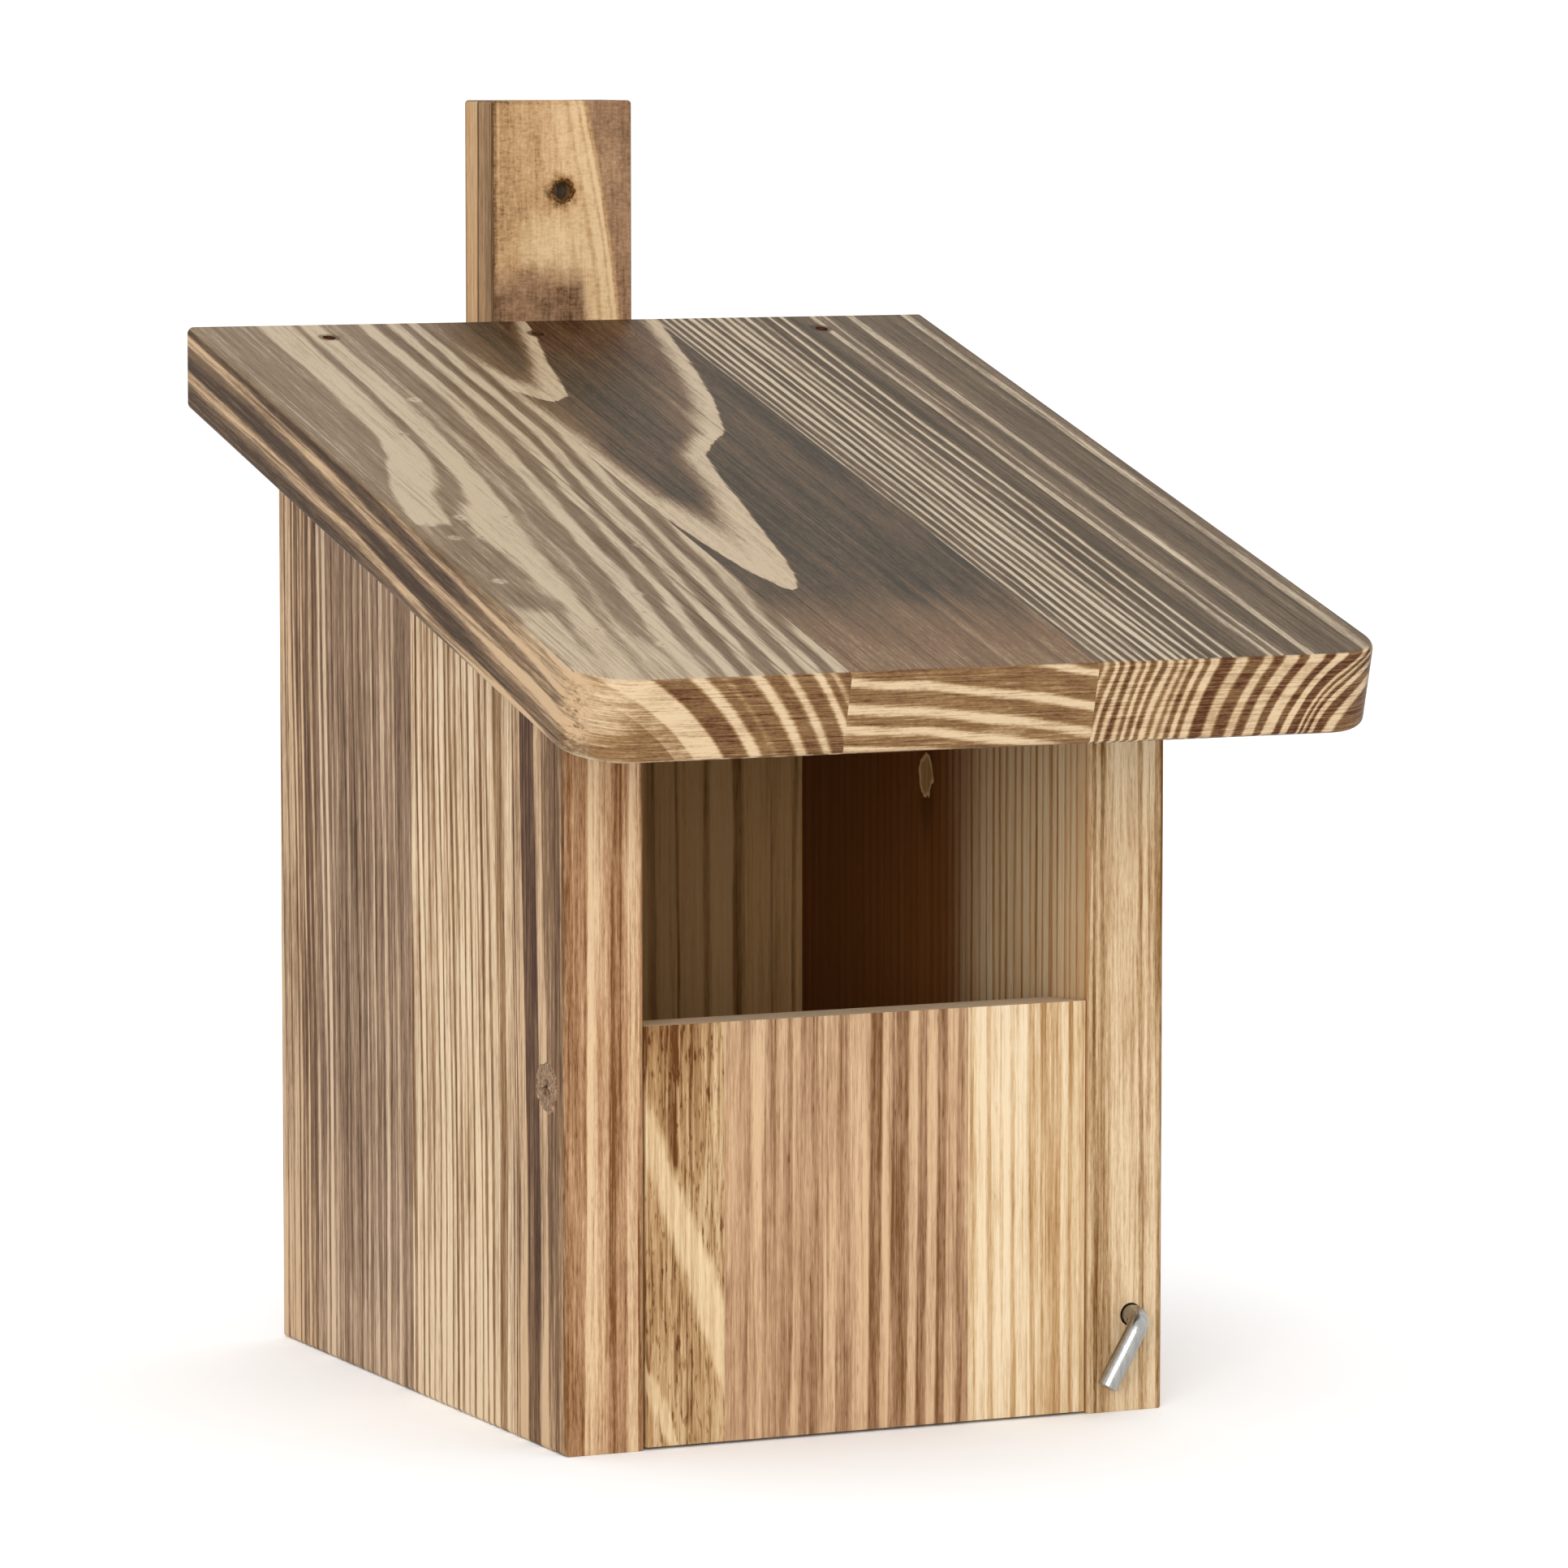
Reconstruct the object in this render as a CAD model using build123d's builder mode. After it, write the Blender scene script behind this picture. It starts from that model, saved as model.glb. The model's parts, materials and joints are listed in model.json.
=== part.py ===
"""Half-open bird nest box: flame-treated boards, hinged front panel, wire latch and hanging lath."""
from build123d import *
from math import cos, radians, sin, tan
import os

os.makedirs("parts", exist_ok=True)

# ---- sizes, in millimetres and degrees ------------------------------------------------------
board = 18.0                    # stock of the sides, back, floor and front panel
body_width = 138.0
body_depth = 162.0
side_front_height = 163.8       # height of a side at its front edge
edge_round = 1.0                # sanded outer edges of the body

roof_pitch = 15.4
roof_board = 17.5
roof_side_overhang = 21.0
roof_front_overhang = 58.6      # measured along the slope
roof_corner_radius = 12.0
roof_edge_round = 1.5
roof_joint_left = -32.5         # glue lines of the roof board, from the middle
roof_joint_right = 22.5

side_joint_first = 27.0         # glue lines of a side, from its front edge
side_joint_second = 83.0
side_back_strip = 23.0          # last lamella, against the back edge

panel_height = 88.3             # top of the front panel above the base
panel_top_fall = 1.3            # its top slopes down towards the nest
panel_base_gap = 0.6            # lets the inner corner swing past the ground
panel_side_gap = 0.3
panel_floor_gap = 0.3
panel_edge_round = 0.6
panel_joint_left = -33.0        # glue lines of the front panel, from the middle
panel_joint_right = 23.0

pivot_height = 75.6
pivot_shank_radius = 2.0
pivot_head_radius = 4.0
pivot_head_sink = 1.2
pivot_length = 30.0
pivot_recess_clearance = 0.7    # radial, where the head has torn its way in
bore_clearance = 0.05           # radial, shanks in their bores
bore_spare = 1.0                # a blind bore runs on past the tip by this much

latch_wire_radius = 2.2
latch_height = 20.6
latch_inset = 7.5               # shank axis from the side's outer face
latch_shank_depth = 22.0
latch_arm_standoff = 5.2        # arm axis in front of the body
latch_bend_radius = 3.2
latch_arm_reach = 16.5          # shank axis to the cut tip
latch_open_angle = 60.0         # arm below level when turned clear of the panel
latch_mouth_clearance = 0.3     # radial, where the drill has widened the hole
latch_mouth_depth = 3.0
wire_end_break = 0.25

lath_width = 34.0
lath_thickness = 17.0
lath_rise = 49.4                # above the roof's back edge
lath_length = 216.0
lath_edge_round = 0.8
lath_hole_radius = 2.5
lath_hole_drop = 20.3           # hole axis below the lath's top

lath_screw_radius = 2.0
lath_screw_head_radius = 4.0
lath_screw_length = 30.0
lath_screw_sink = 0.4
lath_screw_low = 25.0           # above the lath's lower end
lath_screw_pitch = 100.0

nail_radius = 0.9
nail_head_radius = 1.4
nail_head_height = 1.0
nail_length = 38.0
nail_sink = 1.2
nail_inset = 9.0                # from the body's back
nail_middle_x = -10.0
cut_through = 10.0              # how far a cutting cylinder runs past a surface
cross_width = 0.9
cross_depth = 1.3
screw_tip_radius = 0.3
nail_tip_radius = 0.2
hair = 0.1                      # tolerance when edges are picked by their place

# ---- what follows from them -----------------------------------------------------------------
slope = radians(roof_pitch)
front_ease = roof_edge_round * (sin(slope) + cos(slope) - 1)
front_reach = roof_front_overhang * cos(slope) + roof_board * sin(slope) - front_ease
front_y = (front_reach - body_depth - lath_thickness) / 2
back_y = front_y + body_depth


def height_under_roof(y):
    """Height of the roof's underside above the base at a given y."""
    return side_front_height + (y - front_y) * tan(slope)


half_width = body_width / 2
inner_half = half_width - board
side_back_height = height_under_roof(back_y)
roof_plumb = roof_board / cos(slope)
roof_back_top = side_back_height + roof_plumb
roof_half_width = half_width + roof_side_overhang
roof_slope_length = roof_front_overhang + (body_depth + roof_plumb) / cos(slope)
back_face_y = back_y - board
pivot_y = front_y + board / 2
latch_x = half_width - latch_inset
lath_top = roof_back_top + lath_rise
lath_back_y = back_y + lath_thickness
nail_y = back_y - nail_inset
nail_top = height_under_roof(nail_y) + roof_plumb
nail_point = 2 * nail_radius    # length of the pointed end
nail_point_top = nail_top - nail_sink - nail_length + nail_point
side_nail_x = half_width - board / 2
nail_places = (-side_nail_x, nail_middle_x, side_nail_x)
panel_half = inner_half - panel_side_gap
floor_front_y = front_y + board + panel_floor_gap
latch_bore_depth = latch_shank_depth + bore_spare
lath_screw_lowest = lath_top - lath_length + lath_screw_low
lath_screw_heights = (lath_screw_lowest, lath_screw_lowest + lath_screw_pitch)

to_right = (1, 0, 0)
down = (0, 0, -1)
to_front = (0, -1, 0)
to_back = (0, 1, 0)
low_end = (Align.CENTER, Align.CENTER, Align.MIN)
roof_normal = (0, -sin(slope), cos(slope))
roof_plane = Plane(origin=(0, front_y, side_front_height), x_dir=to_right, z_dir=roof_normal)


def keep_between(low, high, direction):
    """Saw the part in hand off at two parallel planes and keep the piece between them."""
    origin_low = tuple(low * axis for axis in direction)
    origin_high = tuple(high * axis for axis in direction)
    split(bisect_by=Plane(origin=origin_low, z_dir=direction), keep=Keep.TOP)
    split(bisect_by=Plane(origin=origin_high, z_dir=direction), keep=Keep.BOTTOM)


def drill(place, radius, depth, direction):
    """Cut a round hole from a place inwards along a direction."""
    with Locations(Plane(origin=place, z_dir=direction)):
        Cylinder(radius, depth, align=low_end, mode=Mode.SUBTRACT)


def drill_for_screw(place, direction, shank_radius, head_radius, recess_radius, sink, length):
    """Cut the hole of a countersunk screw: recess over the head, cone under it, bore for the shank."""
    shank_bore = shank_radius + bore_clearance
    head_height = head_radius - shank_radius
    drill(place, shank_bore, sink + length + bore_spare, direction)
    drill(place, recess_radius, sink, direction)
    with Locations(Plane(origin=place, z_dir=direction).offset(sink)):
        Cone(head_radius + bore_clearance, shank_bore, head_height, align=low_end, mode=Mode.SUBTRACT)


def add_screw(place, direction, shank_radius, head_radius, sink, length):
    """A countersunk screw with its head sunk below a surface and a cross recess in it."""
    head_height = head_radius - shank_radius
    with Locations(Plane(origin=place, z_dir=direction).offset(sink)):
        Cone(head_radius, shank_radius, head_height, align=low_end)
        Cylinder(shank_radius, length - shank_radius, align=low_end)
        Box(head_radius, cross_width, cross_depth, align=low_end, mode=Mode.SUBTRACT)
        Box(cross_width, head_radius, cross_depth, align=low_end, mode=Mode.SUBTRACT)
    with Locations(Plane(origin=place, z_dir=direction).offset(sink + length - shank_radius)):
        Cone(shank_radius, screw_tip_radius, shank_radius, align=low_end)


def drill_nails():
    """The plumb nail holes, with a recess over each sunk head."""
    recess_depth = cut_through + nail_sink + nail_head_height + bore_clearance
    for x in nail_places:
        place = (x, nail_y, nail_top + cut_through)
        drill(place, nail_radius + bore_clearance, cut_through + nail_sink + nail_length + bore_spare, down)
        drill(place, nail_head_radius + bore_clearance, recess_depth, down)


def drill_pivots():
    """The pivot screw holes, in from both outer faces of the body."""
    for hand in (-1, 1):
        drill_for_screw(
            (hand * half_width, pivot_y, pivot_height),
            (-hand, 0, 0),
            pivot_shank_radius,
            pivot_head_radius,
            pivot_head_radius + pivot_recess_clearance,
            pivot_head_sink,
            pivot_length,
        )


def drill_lath_screws():
    """The level screw holes through the lath into the back panel."""
    for z in lath_screw_heights:
        drill_for_screw(
            (0, lath_back_y, z),
            to_front,
            lath_screw_radius,
            lath_screw_head_radius,
            lath_screw_head_radius + bore_clearance,
            lath_screw_sink,
            lath_screw_length,
        )


# ---- sides: four lamellas each, glued edge to edge ------------------------------------------
side_cuts = (
    front_y,
    front_y + side_joint_first,
    front_y + side_joint_second,
    back_y - side_back_strip,
    back_y,
)

for hand, side_name in ((-1, "left"), (1, "right")):
    outer_x = hand * half_width
    for number in range(len(side_cuts) - 1):
        with BuildPart() as side_lamella:
            with BuildSketch(Plane.YZ.offset(min(outer_x, hand * inner_half))):
                with BuildLine():
                    Polyline(
                        (front_y, 0),
                        (back_y, 0),
                        (back_y, side_back_height),
                        (front_y, side_front_height),
                        close=True,
                    )
                make_face()
            extrude(amount=board)
            upright = side_lamella.edges().filter_by(Axis.Z)
            level = side_lamella.edges().filter_by(Axis.Y)
            base_run = level.filter_by_position(Axis.X, outer_x - hair, outer_x + hair)
            fillet(upright + base_run, radius=edge_round)
            drill_nails()
            drill_pivots()
            if hand > 0:
                latch_hole = (latch_x, front_y, latch_height)
                latch_mouth_radius = latch_wire_radius + latch_mouth_clearance
                drill(latch_hole, latch_wire_radius + bore_clearance, latch_bore_depth, to_back)
                drill(latch_hole, latch_mouth_radius, latch_mouth_depth, to_back)
            keep_between(side_cuts[number], side_cuts[number + 1], to_back)
        side_lamella.part.label = f"side_{side_name}_lamella_{number + 1}"
        export_step(side_lamella.part, f"parts/side_{side_name}_lamella_{number + 1}.step")

# ---- back and floor, both between the sides -------------------------------------------------
with BuildPart() as back_panel:
    with BuildSketch(Plane.YZ.offset(-inner_half)):
        with BuildLine():
            Polyline(
                (back_face_y, 0),
                (back_y, 0),
                (back_y, height_under_roof(back_y)),
                (back_face_y, height_under_roof(back_face_y)),
                close=True,
            )
        make_face()
    extrude(amount=2 * inner_half)
    drill_nails()
    drill_lath_screws()
back_panel.part.label = "back_panel"
export_step(back_panel.part, "parts/back_panel.step")

with BuildPart() as floor_panel:
    with BuildSketch(Plane.XY):
        with Locations((0, (floor_front_y + back_face_y) / 2)):
            Rectangle(2 * inner_half, back_face_y - floor_front_y)
    extrude(amount=board)
floor_panel.part.label = "floor_panel"
export_step(floor_panel.part, "parts/floor_panel.step")

# ---- front panel: three lamellas that swing together on the pivot screws --------------------
panel_cuts = (-panel_half, panel_joint_left, panel_joint_right, panel_half)
panel_names = ("left", "centre", "right")

for number, panel_name in enumerate(panel_names):
    with BuildPart() as panel_lamella:
        with BuildSketch(Plane.YZ.offset(-panel_half)):
            with BuildLine():
                Polyline(
                    (front_y, panel_base_gap),
                    (front_y + board, panel_base_gap),
                    (front_y + board, panel_height - panel_top_fall),
                    (front_y, panel_height),
                    close=True,
                )
            make_face()
        extrude(amount=2 * panel_half)
        fillet(panel_lamella.edges().filter_by(Axis.Z), radius=panel_edge_round)
        drill_pivots()
        keep_between(panel_cuts[number], panel_cuts[number + 1], to_right)
    panel_lamella.part.label = f"front_lamella_{panel_name}"
    export_step(panel_lamella.part, f"parts/front_lamella_{panel_name}.step")

# ---- roof: one edge-glued board of three planks ---------------------------------------------
roof_cuts = (-roof_half_width, roof_joint_left, roof_joint_right, roof_half_width)
roof_names = ("left", "centre", "right")

for number, roof_name in enumerate(roof_names):
    with BuildPart() as roof_plank:
        with BuildSketch(roof_plane) as roof_plan:
            with Locations((0, roof_slope_length / 2 - roof_front_overhang)):
                Rectangle(2 * roof_half_width, roof_slope_length)
            fillet(roof_plan.vertices().group_by(Axis.Y)[0], radius=roof_corner_radius)
        extrude(amount=roof_board)
        split(bisect_by=Plane(origin=(0, back_y, 0), z_dir=to_back), keep=Keep.BOTTOM)
        for face_normal in (roof_plane.z_dir, -roof_plane.z_dir):
            broad_face = roof_plank.faces().sort_by(lambda face: face.normal_at().dot(face_normal))[-1]
            rim = broad_face.edges().filter_by(lambda edge: edge.center().Y < back_y - hair)
            fillet(rim, radius=roof_edge_round)
        drill_nails()
        keep_between(roof_cuts[number], roof_cuts[number + 1], to_right)
    roof_plank.part.label = f"roof_plank_{roof_name}"
    export_step(roof_plank.part, f"parts/roof_plank_{roof_name}.step")

# ---- lath that hangs the box, with the hole for its wall screw ------------------------------
with BuildPart() as hanging_lath:
    with BuildSketch(Plane.XY.offset(lath_top - lath_length)) as lath_section:
        with Locations((0, back_y + lath_thickness / 2)):
            Rectangle(lath_width, lath_thickness)
    extrude(amount=lath_length)
    top_rim = hanging_lath.edges().group_by(Axis.Z)[-1]
    fillet(hanging_lath.edges().filter_by(Axis.Z) + top_rim, radius=lath_edge_round)
    drill((0, back_y, lath_top - lath_hole_drop), lath_hole_radius, lath_thickness, to_back)
    drill_lath_screws()
hanging_lath.part.label = "hanging_lath"
export_step(hanging_lath.part, "parts/hanging_lath.step")

# ---- latch: a bent wire that turns in a side's front edge -----------------------------------
arm_y = front_y - latch_arm_standoff
arm_fall = radians(latch_open_angle)
arm_tip = (latch_x - latch_arm_reach * cos(arm_fall), arm_y, latch_height - latch_arm_reach * sin(arm_fall))

with BuildPart() as latch_hook:
    with BuildLine():
        FilletPolyline(
            (latch_x, front_y + latch_shank_depth, latch_height),
            (latch_x, arm_y, latch_height),
            arm_tip,
            radius=latch_bend_radius,
        )
    with BuildSketch(Plane(origin=(latch_x, front_y + latch_shank_depth, latch_height), z_dir=to_front)):
        Circle(latch_wire_radius)
    sweep()
    cut_end = latch_hook.faces().sort_by(lambda face: (face.center() - Vector(*arm_tip)).length)[0]
    chamfer(cut_end.edges(), length=wire_end_break)
latch_hook.part.label = "latch_hook"
export_step(latch_hook.part, "parts/latch_hook.step")

# ---- fasteners ------------------------------------------------------------------------------
with BuildPart() as pivot_screws:
    for hand in (-1, 1):
        add_screw(
            (hand * half_width, pivot_y, pivot_height),
            (-hand, 0, 0),
            pivot_shank_radius,
            pivot_head_radius,
            pivot_head_sink,
            pivot_length,
        )
pivot_screws.part.label = "pivot_screws"
export_step(pivot_screws.part, "parts/pivot_screws.step")

with BuildPart() as lath_screws:
    for z in lath_screw_heights:
        add_screw(
            (0, lath_back_y, z),
            to_front,
            lath_screw_radius,
            lath_screw_head_radius,
            lath_screw_sink,
            lath_screw_length,
        )
lath_screws.part.label = "lath_screws"
export_step(lath_screws.part, "parts/lath_screws.step")

with BuildPart() as roof_nails:
    for x in nail_places:
        with Locations(Plane(origin=(x, nail_y, nail_top - nail_sink), z_dir=down)):
            Cylinder(nail_head_radius, nail_head_height, align=low_end)
            Cylinder(nail_radius, nail_length - nail_point, align=low_end)
        with Locations(Plane(origin=(x, nail_y, nail_point_top), z_dir=down)):
            Cone(nail_radius, nail_tip_radius, nail_point, align=low_end)
roof_nails.part.label = "roof_nails"
export_step(roof_nails.part, "parts/roof_nails.step")
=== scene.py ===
import json
import math
import random

import bmesh
import bpy
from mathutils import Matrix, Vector


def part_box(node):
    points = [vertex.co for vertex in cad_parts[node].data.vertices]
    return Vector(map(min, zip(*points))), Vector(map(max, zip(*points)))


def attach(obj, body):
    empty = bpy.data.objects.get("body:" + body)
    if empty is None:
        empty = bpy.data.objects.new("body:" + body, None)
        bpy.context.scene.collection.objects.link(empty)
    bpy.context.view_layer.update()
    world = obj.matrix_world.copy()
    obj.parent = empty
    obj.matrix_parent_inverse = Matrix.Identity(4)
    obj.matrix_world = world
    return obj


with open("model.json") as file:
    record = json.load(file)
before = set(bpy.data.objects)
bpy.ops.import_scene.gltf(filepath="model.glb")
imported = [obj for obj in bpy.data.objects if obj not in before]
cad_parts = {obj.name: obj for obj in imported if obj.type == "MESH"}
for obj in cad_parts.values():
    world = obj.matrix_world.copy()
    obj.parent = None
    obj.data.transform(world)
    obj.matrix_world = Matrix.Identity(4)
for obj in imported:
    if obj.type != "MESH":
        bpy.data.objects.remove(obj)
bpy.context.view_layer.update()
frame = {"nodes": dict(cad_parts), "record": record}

MM = 0.001

# ---------------------------------------------------------------- sizes and places, in millimetres

side_low, side_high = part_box("side_left_lamella_1")
back_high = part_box("side_left_lamella_4")[1]
roof_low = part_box("roof_plank_left")[0]
lath_low, lath_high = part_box("hanging_lath")

# repeated from the CAD
LAMELLAS = 4                         # the boards glued edge to edge into each side
PIVOT_RECESS_RADIUS = 4.7
NAIL_PLACES = (-60.0, -10.0, 60.0)   # from the middle of the roof
NAIL_ALONG = 221.8                   # up the slope from the roof's front edge
ROOF_THICKNESS = 17.5
ROOF_PITCH = math.radians(15.4)

# from the frame
FRONT_Y = side_low.y / MM
BACK_Y = back_high.y / MM
HALF_WIDTH = -side_low.x / MM
BOARD = (side_high.x - side_low.x) / MM
BOX_DEPTH = BACK_Y - FRONT_Y
LATH_HOLE = frame["record"]["mounts"][0]
LATH_HOLE_RADIUS = LATH_HOLE["dims"]["r_mm"]
LATH_HOLE_Z = LATH_HOLE["pos_m"][2] / MM
ROOF_HALF_WIDTH = -roof_low.x / MM
ROOF_FRONT_Y = roof_low.y / MM
ROOF_FRONT_Z = roof_low.z / MM + ROOF_THICKNESS * math.cos(ROOF_PITCH)

# chosen for the looks
NAIL_MARK_RADIUS = 2.0
INNER_DARK_FROM = BOX_DEPTH - 57.5    # inside, the sides are dark red-brown from the back to here
INNER_DARK_FADE = 15.0
INNER_KNOT = (BACK_Y - 20.0, 129.0)  # from the back and up, on the right side's inner face
ROOF_KNOT = (5.0, 4.0, 8.0)          # across, along and deep, at the roof's front-left corner


# ---------------------------------------------------------------- numbers that vary over a surface


class Signal:
    """A number that varies over a surface: one output of the material that is being built."""

    def __init__(self, socket):
        self.socket = socket

    def __add__(self, other):
        return arithmetic("ADD", self, other)

    def __radd__(self, other):
        return arithmetic("ADD", self, other)

    def __sub__(self, other):
        return arithmetic("SUBTRACT", self, other)

    def __rsub__(self, other):
        return arithmetic("SUBTRACT", other, self)

    def __mul__(self, other):
        return arithmetic("MULTIPLY", self, other)

    def __rmul__(self, other):
        return arithmetic("MULTIPLY", self, other)

    def __truediv__(self, other):
        return arithmetic("DIVIDE", self, other)


def feed(socket, value):
    """Joins a signal to an input, or sets the input to a plain number."""
    if isinstance(value, Signal):
        socket.id_data.links.new(value.socket, socket)
    else:
        socket.default_value = value


def arithmetic(operation, *values):
    tree = next(v for v in values if isinstance(v, Signal)).socket.id_data
    node = tree.nodes.new("ShaderNodeMath")
    node.operation = operation
    for socket, value in zip(node.inputs, values):
        feed(socket, value)
    return Signal(node.outputs[0])


def larger(a, b):
    return arithmetic("MAXIMUM", a, b)


def smaller(a, b):
    return arithmetic("MINIMUM", a, b)


def size_of(a):
    return arithmetic("ABSOLUTE", a)


def signed_root(a):
    return arithmetic("SIGN", a) * arithmetic("SQRT", size_of(a))


def step(value, start, end):
    """0 up to start, 1 from end, a smooth rise between; it falls instead where start is above end."""
    node = value.socket.id_data.nodes.new("ShaderNodeMapRange")
    node.interpolation_type = "SMOOTHSTEP"
    feed(node.inputs["Value"], value)
    rising = start < end
    node.inputs["From Min"].default_value = start if rising else end
    node.inputs["From Max"].default_value = end if rising else start
    node.inputs["To Min"].default_value = 0.0 if rising else 1.0
    node.inputs["To Max"].default_value = 1.0 if rising else 0.0
    return Signal(node.outputs["Result"])


def blend(a, b, share):
    """a where share is 0, b where it is 1."""
    return a + (b - a) * share


def curve(value, points):
    """A number read off a line drawn through the given (value, result) points."""
    xs = [p[0] for p in points]
    ys = [p[1] for p in points]
    low = min(ys)
    span = max(max(ys) - low, 1e-6)
    tree = value.socket.id_data
    place = tree.nodes.new("ShaderNodeMapRange")
    feed(place.inputs["Value"], value)
    place.inputs["From Min"].default_value = xs[0]
    place.inputs["From Max"].default_value = xs[-1]
    node = tree.nodes.new("ShaderNodeFloatCurve")
    tree.links.new(place.outputs["Result"], node.inputs["Value"])
    line = node.mapping.curves[0]
    wanted = [((x - xs[0]) / (xs[-1] - xs[0]), (y - low) / span) for x, y in points]
    while len(line.points) < len(wanted):
        line.points.new(0.5, 0.5)
    for point, (x, y) in zip(line.points, wanted):
        point.location = (x, y)
        point.handle_type = "VECTOR"
    node.mapping.update()
    return Signal(node.outputs[0]) * span + low


def bands(value, start, stripes, soft=0.45):
    """Stripes of tone: each (end, tone) runs from the last one's end, with a short change between."""
    points = []
    at = start
    for end, tone in stripes:
        edge = min(soft, (end - at) * 0.45)
        points.append((at + edge * 0.5, tone))
        points.append((end - edge * 0.5, tone))
        at = end
    return curve(value, points)


def rings(start, end, spacing, light_share, light, dark, seed):
    """Year rings as stripes: light late wood and dark burnt early wood, each a little different."""
    draw = random.Random(seed)
    stripes = []
    at = start
    while at < end - spacing * 0.5:
        width = spacing * draw.uniform(0.8, 1.2)
        share = light_share * draw.uniform(0.75, 1.2)
        stripes.append((at + width * share, light * draw.uniform(0.85, 1.08)))
        stripes.append((at + width, dark * draw.uniform(0.6, 1.4)))
        at += width
    return stripes


# ---------------------------------------------------------------- boards


def linear(level):
    level /= 255.0
    return level / 12.92 if level <= 0.04045 else ((level + 0.055) / 1.055) ** 2.4


LIGHT_LEVEL = 1.5                # how much brighter than plain white light the studio is, at the box
SHEEN = (0.026, 0.028, 0.038)    # what the studio's reflection on dry wood adds to red, green and blue
DARKEST = 0.002


def colour(red, green, blue):
    """A colour as it looks in the studio, turned into the wood's own colour."""
    own = []
    for level, extra in zip((red, green, blue), SHEEN):
        own.append(max(linear(level) - extra, DARKEST) / LIGHT_LEVEL)
    return (*own, 1.0)


SEED_SPREAD = 7.3     # keeps the noises of two boards apart
SEED_STEP = 31.7      # keeps two noises of one board apart
NOISE_GAIN = 3.2      # widens the noise, which hardly leaves its middle, to about -1 to 1


class Board:
    """One material, with the board's own coordinates in millimetres."""

    def __init__(self, name, across, along, depth, seed):
        self.material = bpy.data.materials.new(name)
        self.material.use_nodes = True
        self.tree = self.material.node_tree
        self.tree.nodes.clear()
        place = self.tree.nodes.new("ShaderNodeTexCoord")
        axes = self.tree.nodes.new("ShaderNodeSeparateXYZ")
        self.tree.links.new(place.outputs["Object"], axes.inputs[0])
        x, y, z = (Signal(axes.outputs[i]) * (1 / MM) for i in range(3))
        facing = self.tree.nodes.new("ShaderNodeSeparateXYZ")
        self.tree.links.new(place.outputs["Normal"], facing.inputs[0])
        self.facing = [Signal(facing.outputs[i]) for i in range(3)]
        self.across = across(x, y, z)
        self.along = along(x, y, z)
        self.depth = depth(x, y, z)
        self.seed = seed * SEED_SPREAD

    def vector(self, width, length, thickness):
        """The place in the board, scaled so that one unit is this wide, this long and this thick."""
        self.seed += SEED_STEP
        node = self.tree.nodes.new("ShaderNodeCombineXYZ")
        feed(node.inputs[0], self.across * (1 / width))
        feed(node.inputs[1], self.along * (1 / length))
        feed(node.inputs[2], self.depth * (1 / thickness) + self.seed)
        return node.outputs[0]

    def noise(self, width, length, detail=2.0, rough=0.5, thickness=None, warp=0.0):
        """Soft variation, about -1 to 1, in patches this wide across and this long along the grain."""
        node = self.tree.nodes.new("ShaderNodeTexNoise")
        self.tree.links.new(self.vector(width, length, thickness or width), node.inputs["Vector"])
        node.inputs["Scale"].default_value = 1.0
        node.inputs["Detail"].default_value = detail
        node.inputs["Roughness"].default_value = rough
        node.inputs["Distortion"].default_value = warp
        return (Signal(node.outputs[0]) - 0.5) * NOISE_GAIN

    def knot(self, across, along, radius, stretch=1.0):
        """Distance from a knot's middle in radii: 0 in the middle, 1 at its rim."""
        side = (self.across - across) * (1 / radius)
        run = (self.along - along) * (1 / (radius * stretch))
        return arithmetic("SQRT", side * side + run * run)


def ramp(tone, palette):
    node = tone.socket.id_data.nodes.new("ShaderNodeValToRGB")
    feed(node.inputs[0], tone)
    stops = node.color_ramp.elements
    while len(stops) < len(palette):
        stops.new(0.5)
    for stop, (position, shade) in zip(stops, palette):
        stop.position = position
        stop.color = shade
    return node.outputs[0]


def mix_colours(tree, a, b, share, kind="MIX"):
    node = tree.nodes.new("ShaderNodeMix")
    node.data_type = "RGBA"
    node.blend_type = kind
    feed(node.inputs[0], share)
    for index, shade in ((6, a), (7, b)):
        if isinstance(shade, tuple):
            node.inputs[index].default_value = shade
        else:
            tree.links.new(shade, node.inputs[index])
    return node.outputs[2]


def long_grain(board, contrast=1.0):
    """Fibres, streaks, dark and light lines and pores, all along the grain."""
    fibres = board.noise(0.8, 34.0, 3.0, 0.7)
    streaks = board.noise(2.6, 90.0, 3.0, 0.65)
    dark_lines = step(board.noise(1.0, 110.0, 2.0, 0.6), 0.15, 0.7)
    light_lines = step(board.noise(1.2, 140.0, 2.0, 0.6), 0.2, 0.75)
    pores = step(board.noise(0.5, 5.0, 1.0, 0.5), 0.5, 1.0)
    clouds = board.noise(16.0, 50.0, 2.0, 0.5)
    fuzz = board.noise(0.4, 5.0, 2.0, 0.75)
    lines = light_lines * 0.26 - dark_lines * 0.36 - pores * 0.26
    return (fibres * 0.46 + fuzz * 0.24 + streaks * 0.28 + clouds * 0.12 + lines) * contrast


def scorched(board, contrast=1.0):
    """Short dark and light grains, as the brush leaves them on a flamed face."""
    grains = board.noise(0.45, 1.8, 2.0, 0.8)
    lines = board.noise(0.7, 14.0, 2.0, 0.7)
    return (grains * 0.26 + lines * 0.16) * contrast


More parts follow.
